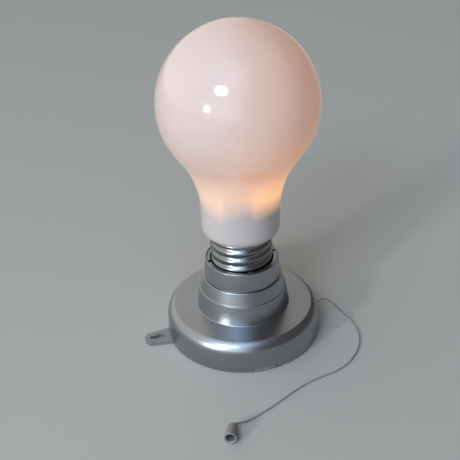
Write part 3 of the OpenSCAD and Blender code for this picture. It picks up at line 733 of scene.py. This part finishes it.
def make_pull():
    """Small hollow bell, turned about its own axis and then laid on its side."""
    outline = rounded([
        (CORD_HOLE_R, 0.0, 0.0002),
        (PULL_BACK_R, 0.0, 0.0006),
        (PULL_R, PULL_L, 0.0005),
        (PULL_BORE_R + 0.0006, PULL_L, 0.0003),
        (PULL_BORE_R, PULL_L - 0.0008, 0.0003),
        (PULL_BORE_R, PULL_FLOOR, 0.0003),
        (CORD_HOLE_R, PULL_FLOOR, 0.0),
    ])
    made = lathe(outline, 96)
    lean = math.atan((PULL_R - PULL_BACK_R) / PULL_L)
    turn = (Matrix.Rotation(PULL_TURN, 4, "Z") @ Matrix.Rotation(-lean, 4, "Y")
            @ Matrix.Rotation(math.pi / 2, 4, "Y"))
    made.transform(Matrix.Translation(PULL_BACK) @ turn)
    piece = finished("pull_bell", made, "cord")
    paint(piece, PULL_PAINT)
    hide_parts("pull")
    return piece


pull = make_pull()

# ---- Pull cord ---------------------------------------------------------------------------------

TABLE_Z = CORD_R
CORD_ROUTE = [
    (0.04715, 0, 0.008), (0.054, 0, 0.008), (0.060, 0, 0.008), (0.0635, 0.0006, 0.008),
    (0.067, 0.0026, 0.0077), (0.0705, 0.004, 0.0066), (0.074, 0.0036, 0.0046),
    (0.077, 0.0012, 0.0026), (0.0792, -0.0026, 0.0012), (0.0808, -0.008, TABLE_Z),
    (0.0826, -0.016, TABLE_Z), (0.0837, -0.024, TABLE_Z), (0.0836, -0.034, TABLE_Z),
    (0.0812, -0.045, TABLE_Z), (0.0756, -0.056, TABLE_Z), (0.0675, -0.0652, TABLE_Z),
    (0.059, -0.0718, TABLE_Z), (0.049, -0.0762, TABLE_Z), (0.038, -0.0788, TABLE_Z),
    (0.0285, -0.081, TABLE_Z), (0.019, -0.0848, TABLE_Z), (0.010, -0.0892, TABLE_Z),
    (0.001, -0.094, TABLE_Z), (-0.008, -0.0986, TABLE_Z), (-0.0165, -0.1024, TABLE_Z),
    (-0.0235, -0.1052, TABLE_Z), (-0.029, -0.1072, 0.0011), (-0.0334, -0.1082, 0.0022),
    (-0.0366, -0.109, 0.0031), (-0.0385, -0.1103, 0.0035), (-0.0396, -0.1125, 0.0036),
    (-0.0406, -0.1148, 0.0037)]
STRANDS = 3
LAY = 0.0036                     # length of one turn of the strands


def smooth_line(route, spacing):
    """Points a spacing apart on the smooth curve through the route."""
    points = [np.array(p, float) for p in route]
    knots = [points[0], *points, points[-1]]
    fine = []
    for a, b, c, d in zip(knots, knots[1:], knots[2:], knots[3:]):
        for t in np.linspace(0, 1, 24, endpoint=False):
            fine.append(0.5 * (2 * b + (c - a) * t + (2 * a - 5 * b + 4 * c - d) * t**2
                               + (3 * b - a - 3 * c + d) * t**3))
    fine.append(points[-1])
    fine = np.array(fine)
    run = np.concatenate([[0], np.cumsum(np.linalg.norm(np.diff(fine, axis=0), axis=1))])
    marks = np.linspace(0, run[-1], int(run[-1] / spacing) + 1)
    return np.column_stack([np.interp(marks, run, fine[:, i]) for i in range(3)]), marks


def make_cord():
    """Twisted cord: a tube whose strands wind round its centreline."""
    line, marks = smooth_line(CORD_ROUTE, 0.0003)
    turns = np.linspace(0, 2 * math.pi, 18, endpoint=False)
    rings = []
    for i, (centre, mark) in enumerate(zip(line, marks)):
        ahead = Vector(line[min(i + 1, len(line) - 1)] - line[max(i - 1, 0)]).normalized()
        side = ahead.cross(Vector((0, 0, 1))).normalized()
        over = side.cross(ahead)
        ring = []
        for a in turns:
            twist = STRANDS * (a - 2 * math.pi * mark / LAY)
            radius = CORD_R * (0.9 + 0.13 * math.cos(twist) ** 3)
            ring.append(Vector(centre) + radius * (math.cos(a) * side + math.sin(a) * over))
        rings.append(ring)
    piece = finished("twisted_cord", grid_tube(rings), "cord", 60)
    paint(piece, CORD)
    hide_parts("pull_cord")


make_cord()

# ---- Return spring of the switch ---------------------------------------------------------------

SPRING_WIRE = 0.0006
SPRING_TURNS = 6


def make_return_spring():
    """Wound spring of the switch, built at one length; the real one shortens against the switch's
    end wall as the cord is pulled.
    """
    low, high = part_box("return_spring")
    middle = (low + high) / 2
    radius = (high.z - low.z - SPRING_WIRE) / 2
    length = high.x - low.x
    rise = (length - SPRING_WIRE) / (2 * math.pi * SPRING_TURNS)
    start = low.x + SPRING_WIRE / 2
    rings = []
    for a in np.linspace(0, 2 * math.pi * SPRING_TURNS, 40 * SPRING_TURNS + 1):
        out = Vector((0, math.cos(a), math.sin(a)))
        ahead = Vector((rise, -radius * math.sin(a), radius * math.cos(a))).normalized()
        over = ahead.cross(out)
        centre = Vector((start + rise * a, middle.y, middle.z)) + radius * out
        rings.append([centre + (math.cos(b) * out + math.sin(b) * over) * (SPRING_WIRE / 2)
                      for b in np.linspace(0, 2 * math.pi, 12, endpoint=False)])
    piece = finished("wound_spring", grid_tube(rings), "base", 60)
    paint(piece, STEEL)
    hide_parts("return_spring")
    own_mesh(piece)


make_return_spring()

# ---- Floor and light ---------------------------------------------------------------------------

FLOOR_GAP = 0.0001               # keeps the floor off the faces that rest on it
FLOOR_HALF = 4


def make_floor():
    """Plain pale floor."""
    mesh = bpy.data.meshes.new("floor")
    mesh.from_pydata([(x * FLOOR_HALF, y * FLOOR_HALF, -FLOOR_GAP)
                      for x, y in ((-1, -1), (1, -1), (1, 1), (-1, 1))], [], [(0, 1, 2, 3)])
    floor = bpy.data.objects.new("floor", mesh)
    scene.collection.objects.link(floor)
    s = Shader("floor")
    s.set(Base_Color=(0.385, 0.37, 0.347, 1.0), Roughness=0.9)
    paint(floor, s.material)


make_floor()


def toward(azimuth, elevation, distance=1.0):
    """Vector of a length in a direction, given in degrees."""
    a, e = math.radians(azimuth), math.radians(elevation)
    return Vector((math.cos(a) * math.cos(e), math.sin(a) * math.cos(e), math.sin(e))) * distance


LAMP_AIM = Vector((0, 0, 0.12))
LAMP_DISTANCE = 1.8


def lamp(name, azimuth, elevation, size, power, colour):
    """Oval soft light that faces the bulb from a direction."""
    data = bpy.data.lights.new(name, "AREA")
    data.shape = "ELLIPSE"
    data.size, data.size_y = size
    data.energy = power
    data.color = colour
    made = bpy.data.objects.new(name, data)
    made.location = LAMP_AIM + toward(azimuth, elevation, LAMP_DISTANCE)
    made.rotation_euler = (LAMP_AIM - made.location).to_track_quat("-Z", "Y").to_euler()
    scene.collection.objects.link(made)


lamp("key", -147, 13, (0.2, 0.18), 15, (1.0, 0.97, 0.94))
lamp("window", -131.5, 38.5, (0.56, 0.4), 8.5, (0.70, 0.86, 1.0))

ROOM_LIGHT = (0.11, 0.10, 0.09, 1.0)

# Soft bright sides of the room: direction, cosines between which each one comes in, and its light
BRIGHT_SIDES = [(toward(140, 20), 0.1, 0.8, (0.95, 0.92, 0.86, 1.0)),
                (toward(-126, 57), 0.84, 1.0, (1.3, 1.8, 2.35, 1.0)),
                (toward(-128, 14), 0.78, 1.0, (1.5, 1.8, 2.1, 1.0))]


def make_world():
    """Dim warm room with its bright sides."""
    world = bpy.data.worlds.new("world")
    world.use_nodes = True
    tree = world.node_tree
    place = tree.nodes.new("ShaderNodeTexCoord")
    light = None
    for direction, low, high, colour in BRIGHT_SIDES:
        facing = tree.nodes.new("ShaderNodeVectorMath")
        facing.operation = "DOT_PRODUCT"
        facing.inputs[1].default_value = direction
        share = tree.nodes.new("ShaderNodeMapRange")
        share.interpolation_type = "SMOOTHSTEP"
        share.inputs["From Min"].default_value = low
        share.inputs["From Max"].default_value = high
        blend = tree.nodes.new("ShaderNodeMix")
        blend.data_type = "RGBA"
        blend.inputs[6].default_value = ROOM_LIGHT
        blend.inputs[7].default_value = colour
        tree.links.new(place.outputs["Generated"], facing.inputs[0])
        tree.links.new(facing.outputs["Value"], share.inputs["Value"])
        tree.links.new(share.outputs["Result"], blend.inputs[0])
        if light is not None:
            tree.links.new(light, blend.inputs[6])
        light = blend.outputs[2]
    tree.links.new(light, tree.nodes["Background"].inputs["Color"])
    scene.world = world


make_world()

scene.view_settings.view_transform = "Standard"
